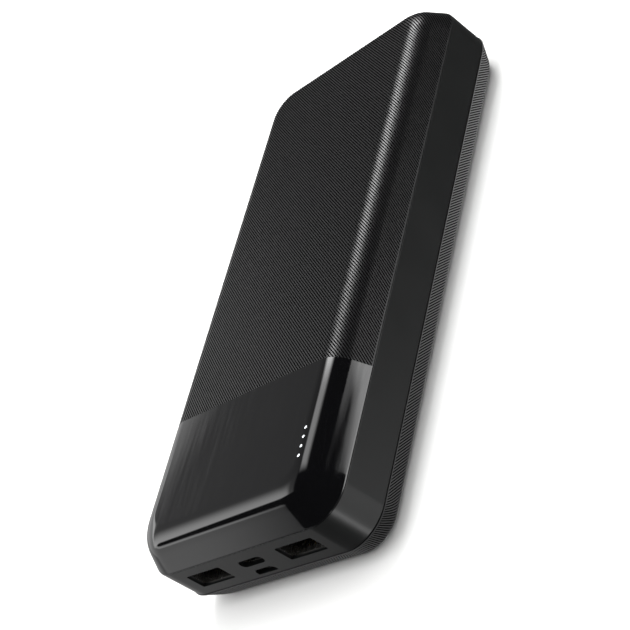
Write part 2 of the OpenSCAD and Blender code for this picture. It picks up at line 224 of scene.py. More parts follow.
def pick(piece, kind, test):
    """Selects the VERT, EDGE or FACE elements whose corner places all pass a test, and enters edit mode."""
    if piece.mode == "EDIT":
        bpy.ops.object.mode_set(mode="OBJECT")
    mesh = piece.data
    spots = places(piece)
    passes = test(spots)
    edges = np.empty(len(mesh.edges) * 2, int)
    mesh.edges.foreach_get("vertices", edges)
    on_edges = passes[edges.reshape(-1, 2)].all(1)
    on_faces = np.zeros(len(mesh.polygons), bool)
    if kind == "FACE":
        on_faces[:] = [passes[list(face.vertices)].all() for face in mesh.polygons]
    if kind == "EDGE":
        passes = np.zeros(len(passes), bool)
        passes[edges.reshape(-1, 2)[on_edges].ravel()] = True
    if kind == "VERT":
        on_edges[:] = False
    mesh.vertices.foreach_set("select", passes)
    mesh.edges.foreach_set("select", on_edges)
    mesh.polygons.foreach_set("select", on_faces)
    bpy.context.tool_settings.mesh_select_mode = [kind == word for word in ("VERT", "EDGE", "FACE")]
    alone(piece)
    bpy.ops.object.mode_set(mode="EDIT")


def done(piece):
    """Leaves edit mode."""
    bpy.ops.object.mode_set(mode="OBJECT")
    return piece


def cover_profile(distance, lean, fillet):
    """Outward distance, drop and outward tilt of a cover's surface, at distances past the edge of its flat face."""
    turn = math.pi / 2 - lean
    angle = np.clip(distance / fillet, 0, turn)
    past = np.maximum(distance - fillet * turn, 0)
    out = fillet * np.sin(angle) + past * math.sin(lean)
    down = fillet * (1 - np.cos(angle)) + past * math.cos(lean)
    return out, down, angle


def profile_length(lean, fillet, drop):
    """Length of the surface from the flat face's edge to the seam."""
    turn = math.pi / 2 - lean
    return fillet * turn + (drop - fillet * (1 - math.cos(turn))) / math.cos(lean)


def wrap(spots, half_x, half_y, flat_corner, seam_corner, lean, fillet, drop, lift):
    """Folds a flat sheet down over a cover's edges. Returns the folded places, for a sheet raised by lift."""
    length = profile_length(lean, fillet, drop)
    reach = float(cover_profile(np.array([length]), lean, fillet)[0][0])
    flat_x, flat_y = half_x - reach, half_y - reach
    centre = np.array([flat_x - flat_corner, flat_y - flat_corner])
    sign = np.where(spots[:, :2] < 0, -1.0, 1.0)
    past = np.abs(spots[:, :2]) - centre
    corner = (past > 0).all(1)
    side = past.max(1)
    radial = np.hypot(past[:, 0], past[:, 1])
    distance = np.maximum(np.where(corner, radial, side) - flat_corner, 0)
    out, down, angle = cover_profile(distance, lean, fillet)
    # straight sides
    plan = np.abs(spots[:, :2])
    facing = np.zeros_like(plan)
    long_side = ~corner & (past[:, 0] > past[:, 1])
    short_side = ~corner & ~long_side
    on_edge = distance > 0
    plan[:, 0] = np.where(long_side & on_edge, flat_x + out, plan[:, 0])
    plan[:, 1] = np.where(short_side & on_edge, flat_y + out, plan[:, 1])
    facing[long_side, 0] = 1
    facing[short_side, 1] = 1
    # corners: each ring is a straight run, an arc and a straight run
    radius = flat_corner + (seam_corner - flat_corner) * out / reach
    run = flat_corner + out - radius
    theta = np.arctan2(past[:, 1], past[:, 0])
    along = theta / (math.pi / 2) * (2 * run + radius * math.pi / 2)
    arc = np.clip((along - run) / radius, 0, math.pi / 2)
    first = np.minimum(along, run)
    last = np.maximum(along - run - radius * math.pi / 2, 0)
    bent_x = run + radius * np.cos(arc) - last
    bent_y = first + radius * np.sin(arc)
    folded = corner & on_edge
    plan[:, 0] = np.where(folded, centre[0] + bent_x, plan[:, 0])
    plan[:, 1] = np.where(folded, centre[1] + bent_y, plan[:, 1])
    facing[corner, 0] = np.cos(arc[corner])
    facing[corner, 1] = np.sin(arc[corner])
    tilt = np.sin(angle)[:, None]
    bent = np.empty_like(spots)
    bent[:, :2] = (plan + facing * tilt * lift[:, None]) * sign
    bent[:, 2] = -down + np.cos(angle) * lift
    return bent


def add_sheet(name, half_x, half_y, corner, rings):
    """Flat sheet with round corners and a ring of faces for each inset."""
    bpy.ops.object.select_all(action="DESELECT")
    bpy.ops.mesh.primitive_plane_add(size=2 * MM, location=(0, 0, 0))
    sheet = bpy.context.object
    sheet.scale = (half_x, half_y, 1)
    settle(sheet, name)
    bpy.ops.object.mode_set(mode="EDIT")
    bpy.ops.mesh.select_mode(type="VERT")
    bpy.ops.mesh.select_all(action="SELECT")
    bpy.ops.mesh.bevel(
        offset=corner * MM, offset_type="OFFSET", segments=16, profile=0.5, affect="VERTICES", clamp_overlap=False
    )
    bpy.ops.mesh.select_mode(type="FACE")
    bpy.ops.mesh.select_all(action="SELECT")
    for width in rings:
        bpy.ops.mesh.inset(thickness=width * MM, depth=0, use_even_offset=True, use_boundary=True)
    return done(sheet)


def groove_wave(spots, shape):
    """Share of the groove's depth at each place: 1 along the bottom of a groove and 0 on the ribs."""
    across = (spots[:, 0] * math.sin(shape.rib_angle) - spots[:, 1] * math.cos(shape.rib_angle)) / shape.rib_pitch
    from_bottom = np.abs(across - np.round(across))
    return np.clip(1 - 2 * from_bottom / shape.groove_width, 0, 1)


def cut_ribs(sheet, shape, inside):
    """Cuts a sheet along the bottom and both edges of each groove, over the faces that pass a test."""
    spots = places(sheet)
    passes = spots[inside(spots)]
    direction = shape.rib_angle
    across = passes[:, 0] * math.sin(direction) - passes[:, 1] * math.cos(direction)
    first, last = math.floor(across.min() / shape.rib_pitch), math.ceil(across.max() / shape.rib_pitch)
    pick(sheet, "FACE", inside)
    bpy.ops.mesh.hide(unselected=True)
    normal = Vector((math.sin(direction), -math.cos(direction), 0))
    for groove in range(first, last + 1):
        for side in (-0.5, 0, 0.5):
            bpy.ops.mesh.select_all(action="SELECT")
            across = (groove + side * shape.groove_width) * shape.rib_pitch
            bpy.ops.mesh.bisect(plane_co=normal * (across * MM), plane_no=normal, threshold=CUT_SLACK)
    bpy.ops.mesh.reveal(select=False)
    return done(sheet)


def make_cover(name, half_x, half_y, flat_corner, lean, fillet, drop, shape, gloss_edge=None):
    """Hollow cover: an outer sheet with its ribs cut and raised, an inner sheet, and a rim that joins them."""
    length = profile_length(lean, fillet, drop)
    turn = (math.pi / 2 - lean) * fillet
    rings = [SEAM_RING, RIB_RAMP, length - turn - SEAM_RING - RIB_RAMP] + [turn / FILLET_STEPS] * FILLET_STEPS
    reach = float(cover_profile(np.array([length]), lean, fillet)[0][0])
    flat_x, flat_y = half_x - reach, half_y - reach
    outer = add_sheet(name, flat_x + length, flat_y + length, flat_corner + length, rings)
    alone(outer)
    bpy.ops.object.duplicate()
    inner = bpy.context.object

    centre = np.array([flat_x - flat_corner, flat_y - flat_corner])

    def from_seam(spots):
        past = np.abs(spots[:, :2]) - centre
        beyond = np.where((past > 0).all(1), np.hypot(past[:, 0], past[:, 1]), past.max(1))
        return flat_corner + length - beyond

    def ribbed(spots):
        clear = from_seam(spots) > SEAM_RING - HAIR
        return clear if gloss_edge is None else clear & (spots[:, 1] > gloss_edge - HAIR)

    if gloss_edge is not None:
        for edge in (gloss_edge, gloss_edge + RIB_RAMP):
            alone(outer)
            bpy.ops.object.mode_set(mode="EDIT")
            bpy.ops.mesh.select_all(action="SELECT")
            bpy.ops.mesh.bisect(plane_co=(0, edge * MM, 0), plane_no=(0, 1, 0), threshold=CUT_SLACK)
            done(outer)
    cut_ribs(outer, shape, ribbed)

    # finishes go on while the sheet is flat: ribs, gloss if there is any, then the groove faces, which are painted near
    # black as shade
    outer.data.materials.append(bpy.data.materials["ribbed_abs"])
    if gloss_edge is not None:
        outer.data.materials.append(bpy.data.materials["polished_abs"])
    outer.data.materials.append(bpy.data.materials["groove_abs"])
    groove_shade_slot = len(outer.data.materials) - 1
    middles = np.array([face.center for face in outer.data.polygons]) / MM
    polish = np.zeros(len(middles), bool) if gloss_edge is None else middles[:, 1] < gloss_edge
    # faces down in a groove get the near-black painted shade
    shaded_groove_faces = (groove_wave(middles, shape) > IN_GROOVE) & (from_seam(middles) > SEAM_RING) & ~polish
    finishes = np.where(shaded_groove_faces, groove_shade_slot, polish.astype(int)).astype(np.int32)
    outer.data.polygons.foreach_set("material_index", finishes)

    spots = places(outer)
    ramp = np.clip((from_seam(spots) - SEAM_RING) / RIB_RAMP, 0, 1)
    if gloss_edge is not None:
        ramp *= np.clip((spots[:, 1] - gloss_edge) / RIB_RAMP, 0, 1)
    lift = -groove_wave(spots, shape) * shape.groove_depth * ramp
    fold = (half_x, half_y, flat_corner, shape.seam_corner, lean, fillet, drop)
    move_to(outer, wrap(spots, *fold, lift))
    spots = places(inner)
    move_to(inner, wrap(spots, *fold, np.full(len(spots), -shape.wall)))
    # the inner rim is brought level with the seam
    spots = places(inner)
    rim = from_rim(inner)
    spots[rim, 2] = -drop
    move_to(inner, spots)
    coat(inner, "ribbed_abs")
    alone(inner)
    bpy.ops.object.mode_set(mode="EDIT")
    bpy.ops.mesh.select_all(action="SELECT")
    bpy.ops.mesh.flip_normals()
    done(inner)
    alone(outer)
    inner.select_set(True)
    bpy.ops.object.join()
    open_edges(outer)
    bpy.ops.mesh.bridge_edge_loops()
    done(outer)
    # the outer edge at the seam is softened
    pick(
        outer, "EDGE",
        lambda spots: (np.abs(spots[:, 2] + drop) < HAIR) & outermost(spots, half_x, half_y, shape.seam_corner),
    )
    soften(SEAM_EDGE, 2)
    return done(outer)


def soften(width, segments):
    """Bevels the picked edges."""
    bpy.ops.mesh.bevel(offset=width * MM, segments=segments, affect="EDGES", clamp_overlap=False)


def from_rim(piece):
    """Which vertices lie on a sheet's open edge."""
    uses = np.zeros(len(piece.data.edges), int)
    for face in piece.data.polygons:
        for key in face.loop_indices:
            uses[piece.data.loops[key].edge_index] += 1
    rim = np.zeros(len(piece.data.vertices), bool)
    for edge in piece.data.edges:
        if uses[edge.index] == 1:
            rim[list(edge.vertices)] = True
    return rim


def open_edges(piece):
    """Enters edit mode with a piece's open edges selected."""
    alone(piece)
    bpy.ops.object.mode_set(mode="EDIT")
    bpy.ops.mesh.select_mode(type="EDGE")
    bpy.ops.mesh.select_all(action="DESELECT")
    bpy.ops.mesh.select_non_manifold(
        extend=False, use_wire=False, use_boundary=True, use_multi_face=False, use_non_contiguous=False, use_verts=False
    )


def outermost(spots, half_x, half_y, corner):
    """Which places lie on the outline of a round-cornered rectangle."""
    past = np.abs(spots[:, :2]) - np.array([half_x - corner, half_y - corner])
    beyond = np.where((past > 0).all(1), np.hypot(past[:, 0], past[:, 1]), past.max(1))
    return np.abs(beyond - corner) < 0.03


def add_block(name, low, high, edge_radius=0.0, along="Z", segments=16):
    """Box between two corners, with the edges along one axis rounded."""
    low, high = Vector(low), Vector(high)
    bpy.ops.object.select_all(action="DESELECT")
    bpy.ops.mesh.primitive_cube_add(size=MM, location=(low + high) / 2 * MM)
    block = bpy.context.object
    block.scale = high - low
    settle(block, name)
    if edge_radius:
        axis = "XYZ".index(along)
        bpy.ops.object.mode_set(mode="EDIT")
        bpy.ops.mesh.select_mode(type="EDGE")
        bpy.ops.mesh.select_all(action="DESELECT")
        done(block)
        for edge in block.data.edges:
            ends = [block.data.vertices[index].co for index in edge.vertices]
            edge.select = abs((ends[0] - ends[1])[axis]) > 0.9 * (high - low)[axis] * MM
        bpy.ops.object.mode_set(mode="EDIT")
        soften(edge_radius, segments)
        done(block)
    return block


def combine(piece, others, operation):
    """Takes other shapes out of a piece with DIFFERENCE, or fuses them to it with UNION."""
    for other in others:
        alone(piece)
        joint = piece.modifiers.new("combine", "BOOLEAN")
        joint.operation = operation
        joint.solver = "MANIFOLD"
        joint.object = other
        bpy.ops.object.modifier_apply(modifier=joint.name)
        bpy.data.objects.remove(other, do_unlink=True)
    return piece


def coat(piece, finish):
    """Gives a whole piece one finish."""
    piece.data.materials.clear()
    piece.data.materials.append(bpy.data.materials[finish])
    piece.data.polygons.foreach_set("material_index", np.zeros(len(piece.data.polygons), np.int32))


def smooth(piece, degrees=25):
    """Smooths the shading over shallow edges, and keeps the large faces flat."""
    alone(piece)
    bpy.ops.object.shade_smooth_by_angle(angle=math.radians(degrees))
    weighting = piece.modifiers.new("weighting", "WEIGHTED_NORMAL")
    weighting.keep_sharp = True
    bpy.ops.object.modifier_apply(modifier=weighting.name)
    return piece


def flip_down(piece):
    """Turns a piece that was made face up to face down."""
    spots = places(piece)
    spots[:, 2] *= -1
    move_to(piece, spots)
    alone(piece)
    bpy.ops.object.mode_set(mode="EDIT")
    bpy.ops.mesh.select_all(action="SELECT")
    bpy.ops.mesh.flip_normals()
    return done(piece)


def raise_by(piece, height):
    """Lifts a piece's mesh, in millimetres."""
    spots = places(piece)
    spots[:, 2] += height
    move_to(piece, spots)


# ---- Materials ----


def put(tree, kind, settings=None, inputs=None):
    """Adds a node, sets its properties, and fills its inputs with values or with other nodes' sockets."""
    made = tree.nodes.new(kind)
    for key, value in (settings or {}).items():
        setattr(made, key, value)
    for key, value in (inputs or {}).items():
        if isinstance(value, bpy.types.NodeSocket):
            tree.links.new(value, made.inputs[key])
        else:
            made.inputs[key].default_value = value
    return made


def new_material(name):
    """Empty material with its output, object coordinates and principled shader."""
    material = bpy.data.materials.new(name)
    material.use_nodes = True
    tree = material.node_tree
    tree.nodes.clear()
    shader = put(tree, "ShaderNodeBsdfPrincipled")
    put(tree, "ShaderNodeOutputMaterial", inputs={"Surface": shader.outputs["BSDF"]})
    coordinates = put(tree, "ShaderNodeTexCoord")
    return material, tree, shader, coordinates.outputs["Object"]


def moulded(name, colour, roughness, grain_mm, depth_mm, spread=0.06, level=0.5):
    """Plastic with the fine spark-eroded grain of its mould, and a slow change of gloss across it."""
    material, tree, shader, where = new_material(name)
    grain = put(
        tree, "ShaderNodeTexNoise",
        inputs={"Vector": where, "Scale": 1 / (grain_mm * MM), "Detail": 2.0, "Roughness": 0.55},
    )
    # the gloss drifts over some 18 mm, as it does where a mould has been cleaned unevenly
    drift = put(tree, "ShaderNodeTexNoise", inputs={"Vector": where, "Scale": 1 / (18 * MM), "Detail": 3.0})
    gloss = put(
        tree, "ShaderNodeMapRange",
        inputs={"Value": drift.outputs["Fac"], "To Min": roughness - spread, "To Max": roughness + spread},
    )
    # the tips of the grain are a quarter lighter than its hollows
    light = tuple(min(1, part * 1.25) for part in colour[:3]) + (1.0,)
    ramp = put(tree, "ShaderNodeValToRGB", inputs={"Fac": grain.outputs["Fac"]})
    for stop, position, tone in zip(ramp.color_ramp.elements, (0.3, 0.7), (colour, light)):
        stop.position, stop.color = position, tone
    bump = put(
        tree, "ShaderNodeBump",
        inputs={"Height": grain.outputs["Fac"], "Distance": depth_mm * MM, "Strength": 1.0},
    )
    tree.links.new(ramp.outputs["Color"], shader.inputs["Base Color"])
    tree.links.new(gloss.outputs["Result"], shader.inputs["Roughness"])
    tree.links.new(bump.outputs["Normal"], shader.inputs["Normal"])
    shader.inputs["IOR"].default_value = 1.5
    shader.inputs["Specular IOR Level"].default_value = level


def polished(name, colour):
    """Piano-finish plastic: a clear polish with faint wiping marks and a few specks of dust."""
    material, tree, shader, where = new_material(name)
    # wiping marks 1.5 mm apart and a dozen times as long
    stretched = put(
        tree, "ShaderNodeMapping",
        inputs={"Vector": where, "Rotation": (0, 0, math.radians(38)), "Scale": (1.0, 0.08, 1.0)},
    )
    wipes = put(
        tree, "ShaderNodeTexNoise",
        inputs={"Vector": stretched.outputs["Vector"], "Scale": 1 / (1.5 * MM), "Detail": 4.0},
    )
    gloss = put(
        tree, "ShaderNodeMapRange",
        inputs={"Value": wipes.outputs["Fac"], "From Min": 0.35, "From Max": 0.75, "To Min": 0.035, "To Max": 0.09},
    )
    # specks of dust about 0.1 mm wide and 6 mm apart
    specks = put(tree, "ShaderNodeTexVoronoi", {"feature": "F1"}, {"Vector": where, "Scale": 1 / (6 * MM)})
    dust = put(
        tree, "ShaderNodeMapRange",
        inputs={"Value": specks.outputs["Distance"], "From Min": 0.012, "From Max": 0.02, "To Min": 1.0, "To Max": 0.0},
    )
    ramp = put(tree, "ShaderNodeValToRGB", inputs={"Fac": dust.outputs["Result"]})
    ramp.color_ramp.elements[0].color = colour
    ramp.color_ramp.elements[1].color = linear("35363a")
    tree.links.new(ramp.outputs["Color"], shader.inputs["Base Color"])
    tree.links.new(gloss.outputs["Result"], shader.inputs["Roughness"])
    shader.inputs["IOR"].default_value = 1.5


def metal(name, colour, roughness, grain_mm, stretch=1.0, depth_mm=0.002):
    """Bare or plated metal with rolling or tumbling marks."""
    material, tree, shader, where = new_material(name)
    stretched = put(tree, "ShaderNodeMapping", inputs={"Vector": where, "Scale": (1.0, stretch, 1.0)})
    marks = put(
        tree, "ShaderNodeTexNoise",
        inputs={"Vector": stretched.outputs["Vector"], "Scale": 1 / (grain_mm * MM), "Detail": 3.0},
    )
    gloss = put(
        tree, "ShaderNodeMapRange",
        inputs={"Value": marks.outputs["Fac"], "To Min": roughness * 0.7, "To Max": roughness * 1.4},
    )
    ramp = put(tree, "ShaderNodeValToRGB", inputs={"Fac": marks.outputs["Fac"]})
    ramp.color_ramp.elements[0].color = tuple(part * 0.85 for part in colour[:3]) + (1.0,)
    ramp.color_ramp.elements[1].color = colour
    bump = put(
        tree, "ShaderNodeBump",
        inputs={"Height": marks.outputs["Fac"], "Distance": depth_mm * MM, "Strength": 1.0},
    )
    tree.links.new(ramp.outputs["Color"], shader.inputs["Base Color"])
    tree.links.new(gloss.outputs["Result"], shader.inputs["Roughness"])
    tree.links.new(bump.outputs["Normal"], shader.inputs["Normal"])
    shader.inputs["Metallic"].default_value = 1.0


def make_materials(finish):
    """Makes every finish. Lengths are the real grain's spacing and depth in millimetres."""
    # ABS from a spark-eroded mould: black, with a soft broad sheen along each rib
    moulded("ribbed_abs", tuple(finish.ribbed), 0.34, 0.12, 0.002, spread=0.03, level=0.45)
    # the same ABS down in the grooves, painted almost black and with its reflection turned down: painted shade where
    # light can't get into the grooves; rough and dull as well
    moulded("groove_abs", linear("030303"), 0.85, 0.12, 0.004, level=0.04)
    # ABS from a mirror-polished mould: deep black, and reflects the room sharply
    polished("polished_abs", tuple(finish.gloss))
    # ABS from a finely blasted mould: black, and reflects in soft-edged bands
    moulded("satin_abs", tuple(finish.satin), 0.3, 0.10, 0.002)
    # ABS from a coarser blasted mould: a shade greyer and duller than the band around it
    moulded("button_abs", linear("18191a"), 0.38, 0.10, 0.004)
    # glass-filled nylon of the socket tongues and switch: matt, very dark grey
    moulded("black_nylon", linear("0f1011"), 0.5, 0.2, 0.01)
    # transfer-moulded epoxy of the chips: matt black with a sandy look
    moulded("epoxy_package", linear("141416"), 0.55, 0.08, 0.006)
    # green solder mask, screen printed over copper: dark and slightly wavy
    moulded("solder_mask", linear("0d2a17"), 0.3, 0.5, 0.01)
    # pressed and fired ferrite: mid grey and chalky
    moulded("ferrite", linear("3a3b3d"), 0.7, 0.15, 0.02)
    # fired ceramic of the small capacitors: tan and waxy
    moulded("ceramic_capacitor", linear("9a7a58"), 0.45, 0.15, 0.006)
    # polyimide film: clear amber with long gentle ripples
    moulded("polyimide_tape", linear("b98a2c"), 0.35, 1.2, 0.01)
    # open-cell foam: dead matt, with pores that show
    moulded("polyurethane_foam", linear("26272a"), 0.9, 0.35, 0.12)
    # extruded silicone of the leads: even colour with a soft sheen
    moulded("red_silicone", linear("a81414"), 0.45, 0.3, 0.01)
    moulded("black_silicone", linear("111112"), 0.45, 0.3, 0.01)
    # dipped epoxy of the sensor bead: dark, with a wet look
    moulded("sensor_epoxy", linear("12130f"), 0.4, 0.3, 0.01)
    # pressed fibre sheet: buff, with a papery tooth
    moulded("pressed_fibre", linear("c8b58a"), 0.85, 0.25, 0.03)
    # rolled steel under nickel: bright and warm, with fine marks along the roll
    metal("nickel_plated_steel", linear("c9c8c4"), 0.24, 0.4, 0.15)
    # zinc plate on the screws: bluish and a little cloudy
    metal("zinc_plated_steel", linear("b9bdc2"), 0.3, 0.3)
    # flash gold on the contacts: yellow and smooth
    metal("gold_plate", linear("e0b050"), 0.22, 0.2)
    # drawn aluminium cans: pale and lightly frosted
    metal("aluminium_can", linear("c4c7cb"), 0.28, 0.3)
    # laminated foil of the cells: silvery, with a soft crinkle
    metal("laminated_foil", linear("b4b8bd"), 0.35, 1.6, 0.4, 0.02)
    # rolled nickel strip: grey-white with marks along the roll
    metal("nickel_strip", linear("bfbdb6"), 0.3, 0.4, 0.2)
    # polycarbonate of the light guide with its lamps lit: a white glow with a slight haze
    material, tree, shader, where = new_material("lit_polycarbonate")
    haze = put(tree, "ShaderNodeTexNoise", inputs={"Vector": where, "Scale": 1 / (0.6 * MM), "Detail": 2.0})
    ramp = put(tree, "ShaderNodeValToRGB", inputs={"Fac": haze.outputs["Fac"]})
    for stop, code in zip(ramp.color_ramp.elements, ("e6eef2", "fbfdfe")):
        stop.color = linear(code)
    tree.links.new(ramp.outputs["Color"], shader.inputs["Base Color"])
    tree.links.new(ramp.outputs["Color"], shader.inputs["Emission Color"])
    for key, value in (("Emission Strength", 0.6), ("Roughness", 0.2), ("IOR", 1.58)):
        shader.inputs[key].default_value = value


CAD_FINISH = {
    "lit_polycarbonate": ["light_guide", "charge_lights"],
    "black_nylon": [
        "light_shroud", "usb_a_tongue_left", "usb_a_tongue_right", "usb_c_tongue", "micro_usb_tongue",
        "switch_base", "switch_plunger",
    ],
    "solder_mask": ["main_board"],
    "zinc_plated_steel": ["board_screws"],
    "nickel_plated_steel": [
        "usb_a_shell_left", "usb_a_shell_right", "usb_c_shell", "micro_usb_shell", "switch_cover",
    ],
    "gold_plate": ["usb_a_contacts_left", "usb_a_contacts_right", "usb_c_contacts", "micro_usb_contacts"],
    "epoxy_package": ["controller_chip", "protection_chip", "power_transistors", "chip_resistors"],
    "ferrite": ["power_inductor"],
    "aluminium_can": ["polymer_capacitors"],
    "ceramic_capacitor": ["ceramic_capacitors"],
    "laminated_foil": ["cell_lower", "cell_upper"],
    "polyimide_tape": ["cell_divider_tape"],
    "polyurethane_foam": ["lower_foam_pad", "upper_foam_pad"],
    "nickel_strip": ["positive_tab", "negative_tab"],
    "red_silicone": ["positive_lead"],
    "black_silicone": ["negative_lead"],
    "sensor_epoxy": ["temperature_sensor"],
    "pressed_fibre": ["insulating_barrier"],
}


# Each socket's shell, how far its window lies inside the shell's outline, the window's corner radius
# (None for a full round) and the steps in that corner.
SOCKET_WINDOWS = (
    ("usb_a_shell_left", 0.1, 0.45, 5),
    ("usb_a_shell_right", 0.1, 0.45, 5),
    ("usb_c_shell", 0.22, None, 12),
    ("micro_usb_shell", 0.12, 0.0, 1),
)
SMALL_CHAMFER = 0.9  # cut-off upper corners of the small window, in mm


# Softboxes: place, aim and size in metres, and power in watts.
SOFTBOXES = {
    "overhead": ((0, 0, 1.6), (0, 0, 0), (2.6, 2.6), 46),
    "right_fill": ((1.1, 0.3, 0.55), (0.05, 0, 0), (1.2, 0.8), 3.0),
    "end_fill": ((0.1, -1.2, 0.5), (0, -0.08, 0), (1.2, 0.8), 2.5),
}
AMBIENT = 0.03  # radiance of the world between its screens
CAMERA_PLACE = (269.5, -215.56, 184.31)
CAMERA_TARGET = (-0.7, -8.31, 14.0)
CAMERA_ROLL = math.radians(-56.234)
CAMERA_SENSOR = 36
CAMERA_LENS = 85.12


def add_screens(tree, screens, horizon):
    """Radiance of the brightest screen in each direction.

    A screen is its glows and its edges. A glow is a strength times its soft steps, and glows add up.
    A step is a value, where it starts and ends, and the levels there if they aren't 0 and 1.
    """
    brightest = 0.0
    for glows, edges in screens:
        total = 0.0
        for strength, steps in glows:
            for value, start, end, *levels in steps + edges + (horizon,):
                low, high = levels or (0.0, 1.0)
                step = put(
                    tree, "ShaderNodeMapRange", {"interpolation_type": "SMOOTHSTEP"},
                    {"Value": value, "From Min": start, "From Max": end, "To Min": low, "To Max": high},
                )
                product = put(
                    tree, "ShaderNodeMath", {"operation": "MULTIPLY"}, {0: strength, 1: step.outputs["Result"]}
                )
                strength = product.outputs["Value"]
            total = put(tree, "ShaderNodeMath", {"operation": "ADD"}, {0: total, 1: strength}).outputs["Value"]
        peak = put(tree, "ShaderNodeMath", {"operation": "MAXIMUM"}, {0: brightest, 1: total})
        brightest = peak.outputs["Value"]
    return brightest


# ---- Operators ----


class POWERBANK_OT_materials(bpy.types.Operator):
    """Make the materials and put them on the carried-over parts"""

    bl_idname = "powerbank.materials"
    bl_label = "Materials"

    def execute(self, context):
        make_materials(context.scene.powerbank_finish)
        for name, nodes in CAD_FINISH.items():
            for node in nodes:
                slots = NODES[node].data.materials
                if not slots:
                    slots.append(None)
                for index in range(len(slots)):
                    slots[index] = bpy.data.materials[name]
        return {"FINISHED"}


class POWERBANK_OT_front_cover(bpy.types.Operator):
    """Build the front cover with its ribs, gloss end and light windows"""

    bl_idname = "powerbank.front_cover"
    bl_label = "Front cover"

    def execute(self, context):
        shape = in_mm(context.scene.powerbank_shape)
        cover = make_cover(
            "front_cover_shell", MID_HIGH.x, MID_HIGH.y, shape.front_corner, shape.front_lean, shape.front_fillet,
            FRONT_TOP - FRONT_SEAM, shape, shape.gloss_edge,
        )
        raise_by(cover, FRONT_TOP)
        low, high = box_mm("light_guide")
        middle = (low + high) / 2
        holes = []
        for light in range(LIGHT_COUNT):
            along = middle.y + (light - (LIGHT_COUNT - 1) / 2) * LIGHT_PITCH
            bpy.ops.object.select_all(action="DESELECT")
            bpy.ops.mesh.primitive_cylinder_add(
                vertices=32, radius=LIGHT_HOLE * MM, depth=4 * MM, location=Vector((middle.x, along, FRONT_TOP)) * MM
            )
            holes.append(settle(bpy.context.object, "light_hole"))
        combine(cover, holes, "DIFFERENCE")
        smooth(cover)
        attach(cover, "case")
        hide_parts("front_cover")
        return {"FINISHED"}


class POWERBANK_OT_back_cover(bpy.types.Operator):
    """Build the back cover with its ribs"""

    bl_idname = "powerbank.back_cover"
    bl_label = "Back cover"

    def execute(self, context):
        shape = in_mm(context.scene.powerbank_shape)
        cover = make_cover(
            "back_cover_shell", BACK_HIGH.x, BACK_HIGH.y, shape.back_corner, shape.back_lean, shape.back_fillet,
            BACK_SEAM, shape,
        )
        flip_down(cover)
        smooth(cover)
        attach(cover, "case")
        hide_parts("back_cover")
        return {"FINISHED"}


class POWERBANK_OT_mid_frame(bpy.types.Operator):
    """Build the mid-frame band with its socket windows and button hole"""

    bl_idname = "powerbank.mid_frame"
    bl_label = "Mid-frame"

    def execute(self, context):
        shape = in_mm(context.scene.powerbank_shape)
        band = add_block("mid_frame_band", MID_LOW, MID_HIGH, shape.seam_corner, "Z")
        for height in (BACK_SEAM, FRONT_SEAM):
            pick(band, "EDGE", lambda spots: np.abs(spots[:, 2] - height) < HAIR)
            soften(FRAME_EDGE, 3)
            done(band)
        inside = Vector((FRAME_WALL, FRAME_WALL, -1))
        inner = add_block("inner", MID_LOW + inside, MID_HIGH - inside, shape.seam_corner - FRAME_WALL, "Z")
        port = MID_LOW.y
        pocket = add_block(
            "pocket", (-POCKET_HALF, port + PORT_WALL, BACK_SEAM + 1),
            (POCKET_HALF, port + PORT_WALL + 2, FRONT_SEAM - 2),
        )
        windows = []
        for shell, inset, corner, steps in SOCKET_WINDOWS:
            low, high = box_mm(shell)
            radius = (high.z - low.z) / 2 - inset - 0.01 if corner is None else corner
            windows.append(
                add_block(
                    "window", (low.x + inset, port - 1, low.z + inset), (high.x - inset, port + 3, high.z - inset),
                    radius, "Y", steps,
                )
            )
        # the small window's upper corners are cut off
        small, top = windows[-1], high.z - inset - 0.01
        for side in (-1, 1):
            pick(small, "EDGE", lambda spots: (spots[:, 2] > top) & (spots[:, 0] * side > 1))
            soften(SMALL_CHAMFER, 1)
            done(small)
        low, high = box_mm("power_button")
        reach = Vector((0, BUTTON_FLANGE - BUTTON_GAP, BUTTON_FLANGE - BUTTON_GAP))
        low, high = low + reach, high - reach
        windows.append(
            add_block(
                "window", (MID_LOW.x - 1, low.y, low.z), (MID_LOW.x + 3, high.y, high.z),
                (high.z - low.z) / 2 - 0.01, "X", 12,
            )
        )
        combine(band, [inner, pocket] + windows, "DIFFERENCE")
        smooth(band, 30)
        coat(band, "satin_abs")
        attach(band, "case")
        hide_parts("mid_frame")
        return {"FINISHED"}


class POWERBANK_OT_socket_mouths(bpy.types.Operator):
    """Build the bright metal mouths of the two wide sockets"""

    bl_idname = "powerbank.socket_mouths"
    bl_label = "Socket mouths"

    def execute(self, context):
        low, high = box_mm("usb_a_shell_left")
        start = low.y - LIP_DEPTH
        mouth = add_block(
            "usb_a_mouth_left", (low.x + MOUTH_INSET, start, low.z + MOUTH_INSET),
            (high.x - MOUTH_INSET, low.y, high.z - MOUTH_INSET), 0.44, "Y", 5,
        )
        pick(mouth, "EDGE", lambda spots: spots[:, 1] < start + HAIR)
        soften(MOUTH_EDGE, 2)
        done(mouth)
        opening = add_block(
            "opening", (low.x + SHELL_SHEET, start - 1, low.z + SHELL_SHEET),
            (high.x - SHELL_SHEET, low.y + 1, high.z - SHELL_SHEET), 0.25, "Y", 5,
        )
        combine(mouth, [opening], "DIFFERENCE")
        coat(mouth, "nickel_plated_steel")
        smooth(mouth, 30)
        # the right mouth is a copy, moved by the distance between the two shells
        twin = mouth.copy()
        twin.name = "usb_a_mouth_right"
        twin.data = mouth.data.copy()
        twin.data.name = twin.name
        twin.data.transform(Matrix.Translation((box_mm("usb_a_shell_right")[0] - low) * MM))
        context.collection.objects.link(twin)
        for piece in (mouth, twin):
            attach(piece, "case")
        return {"FINISHED"}


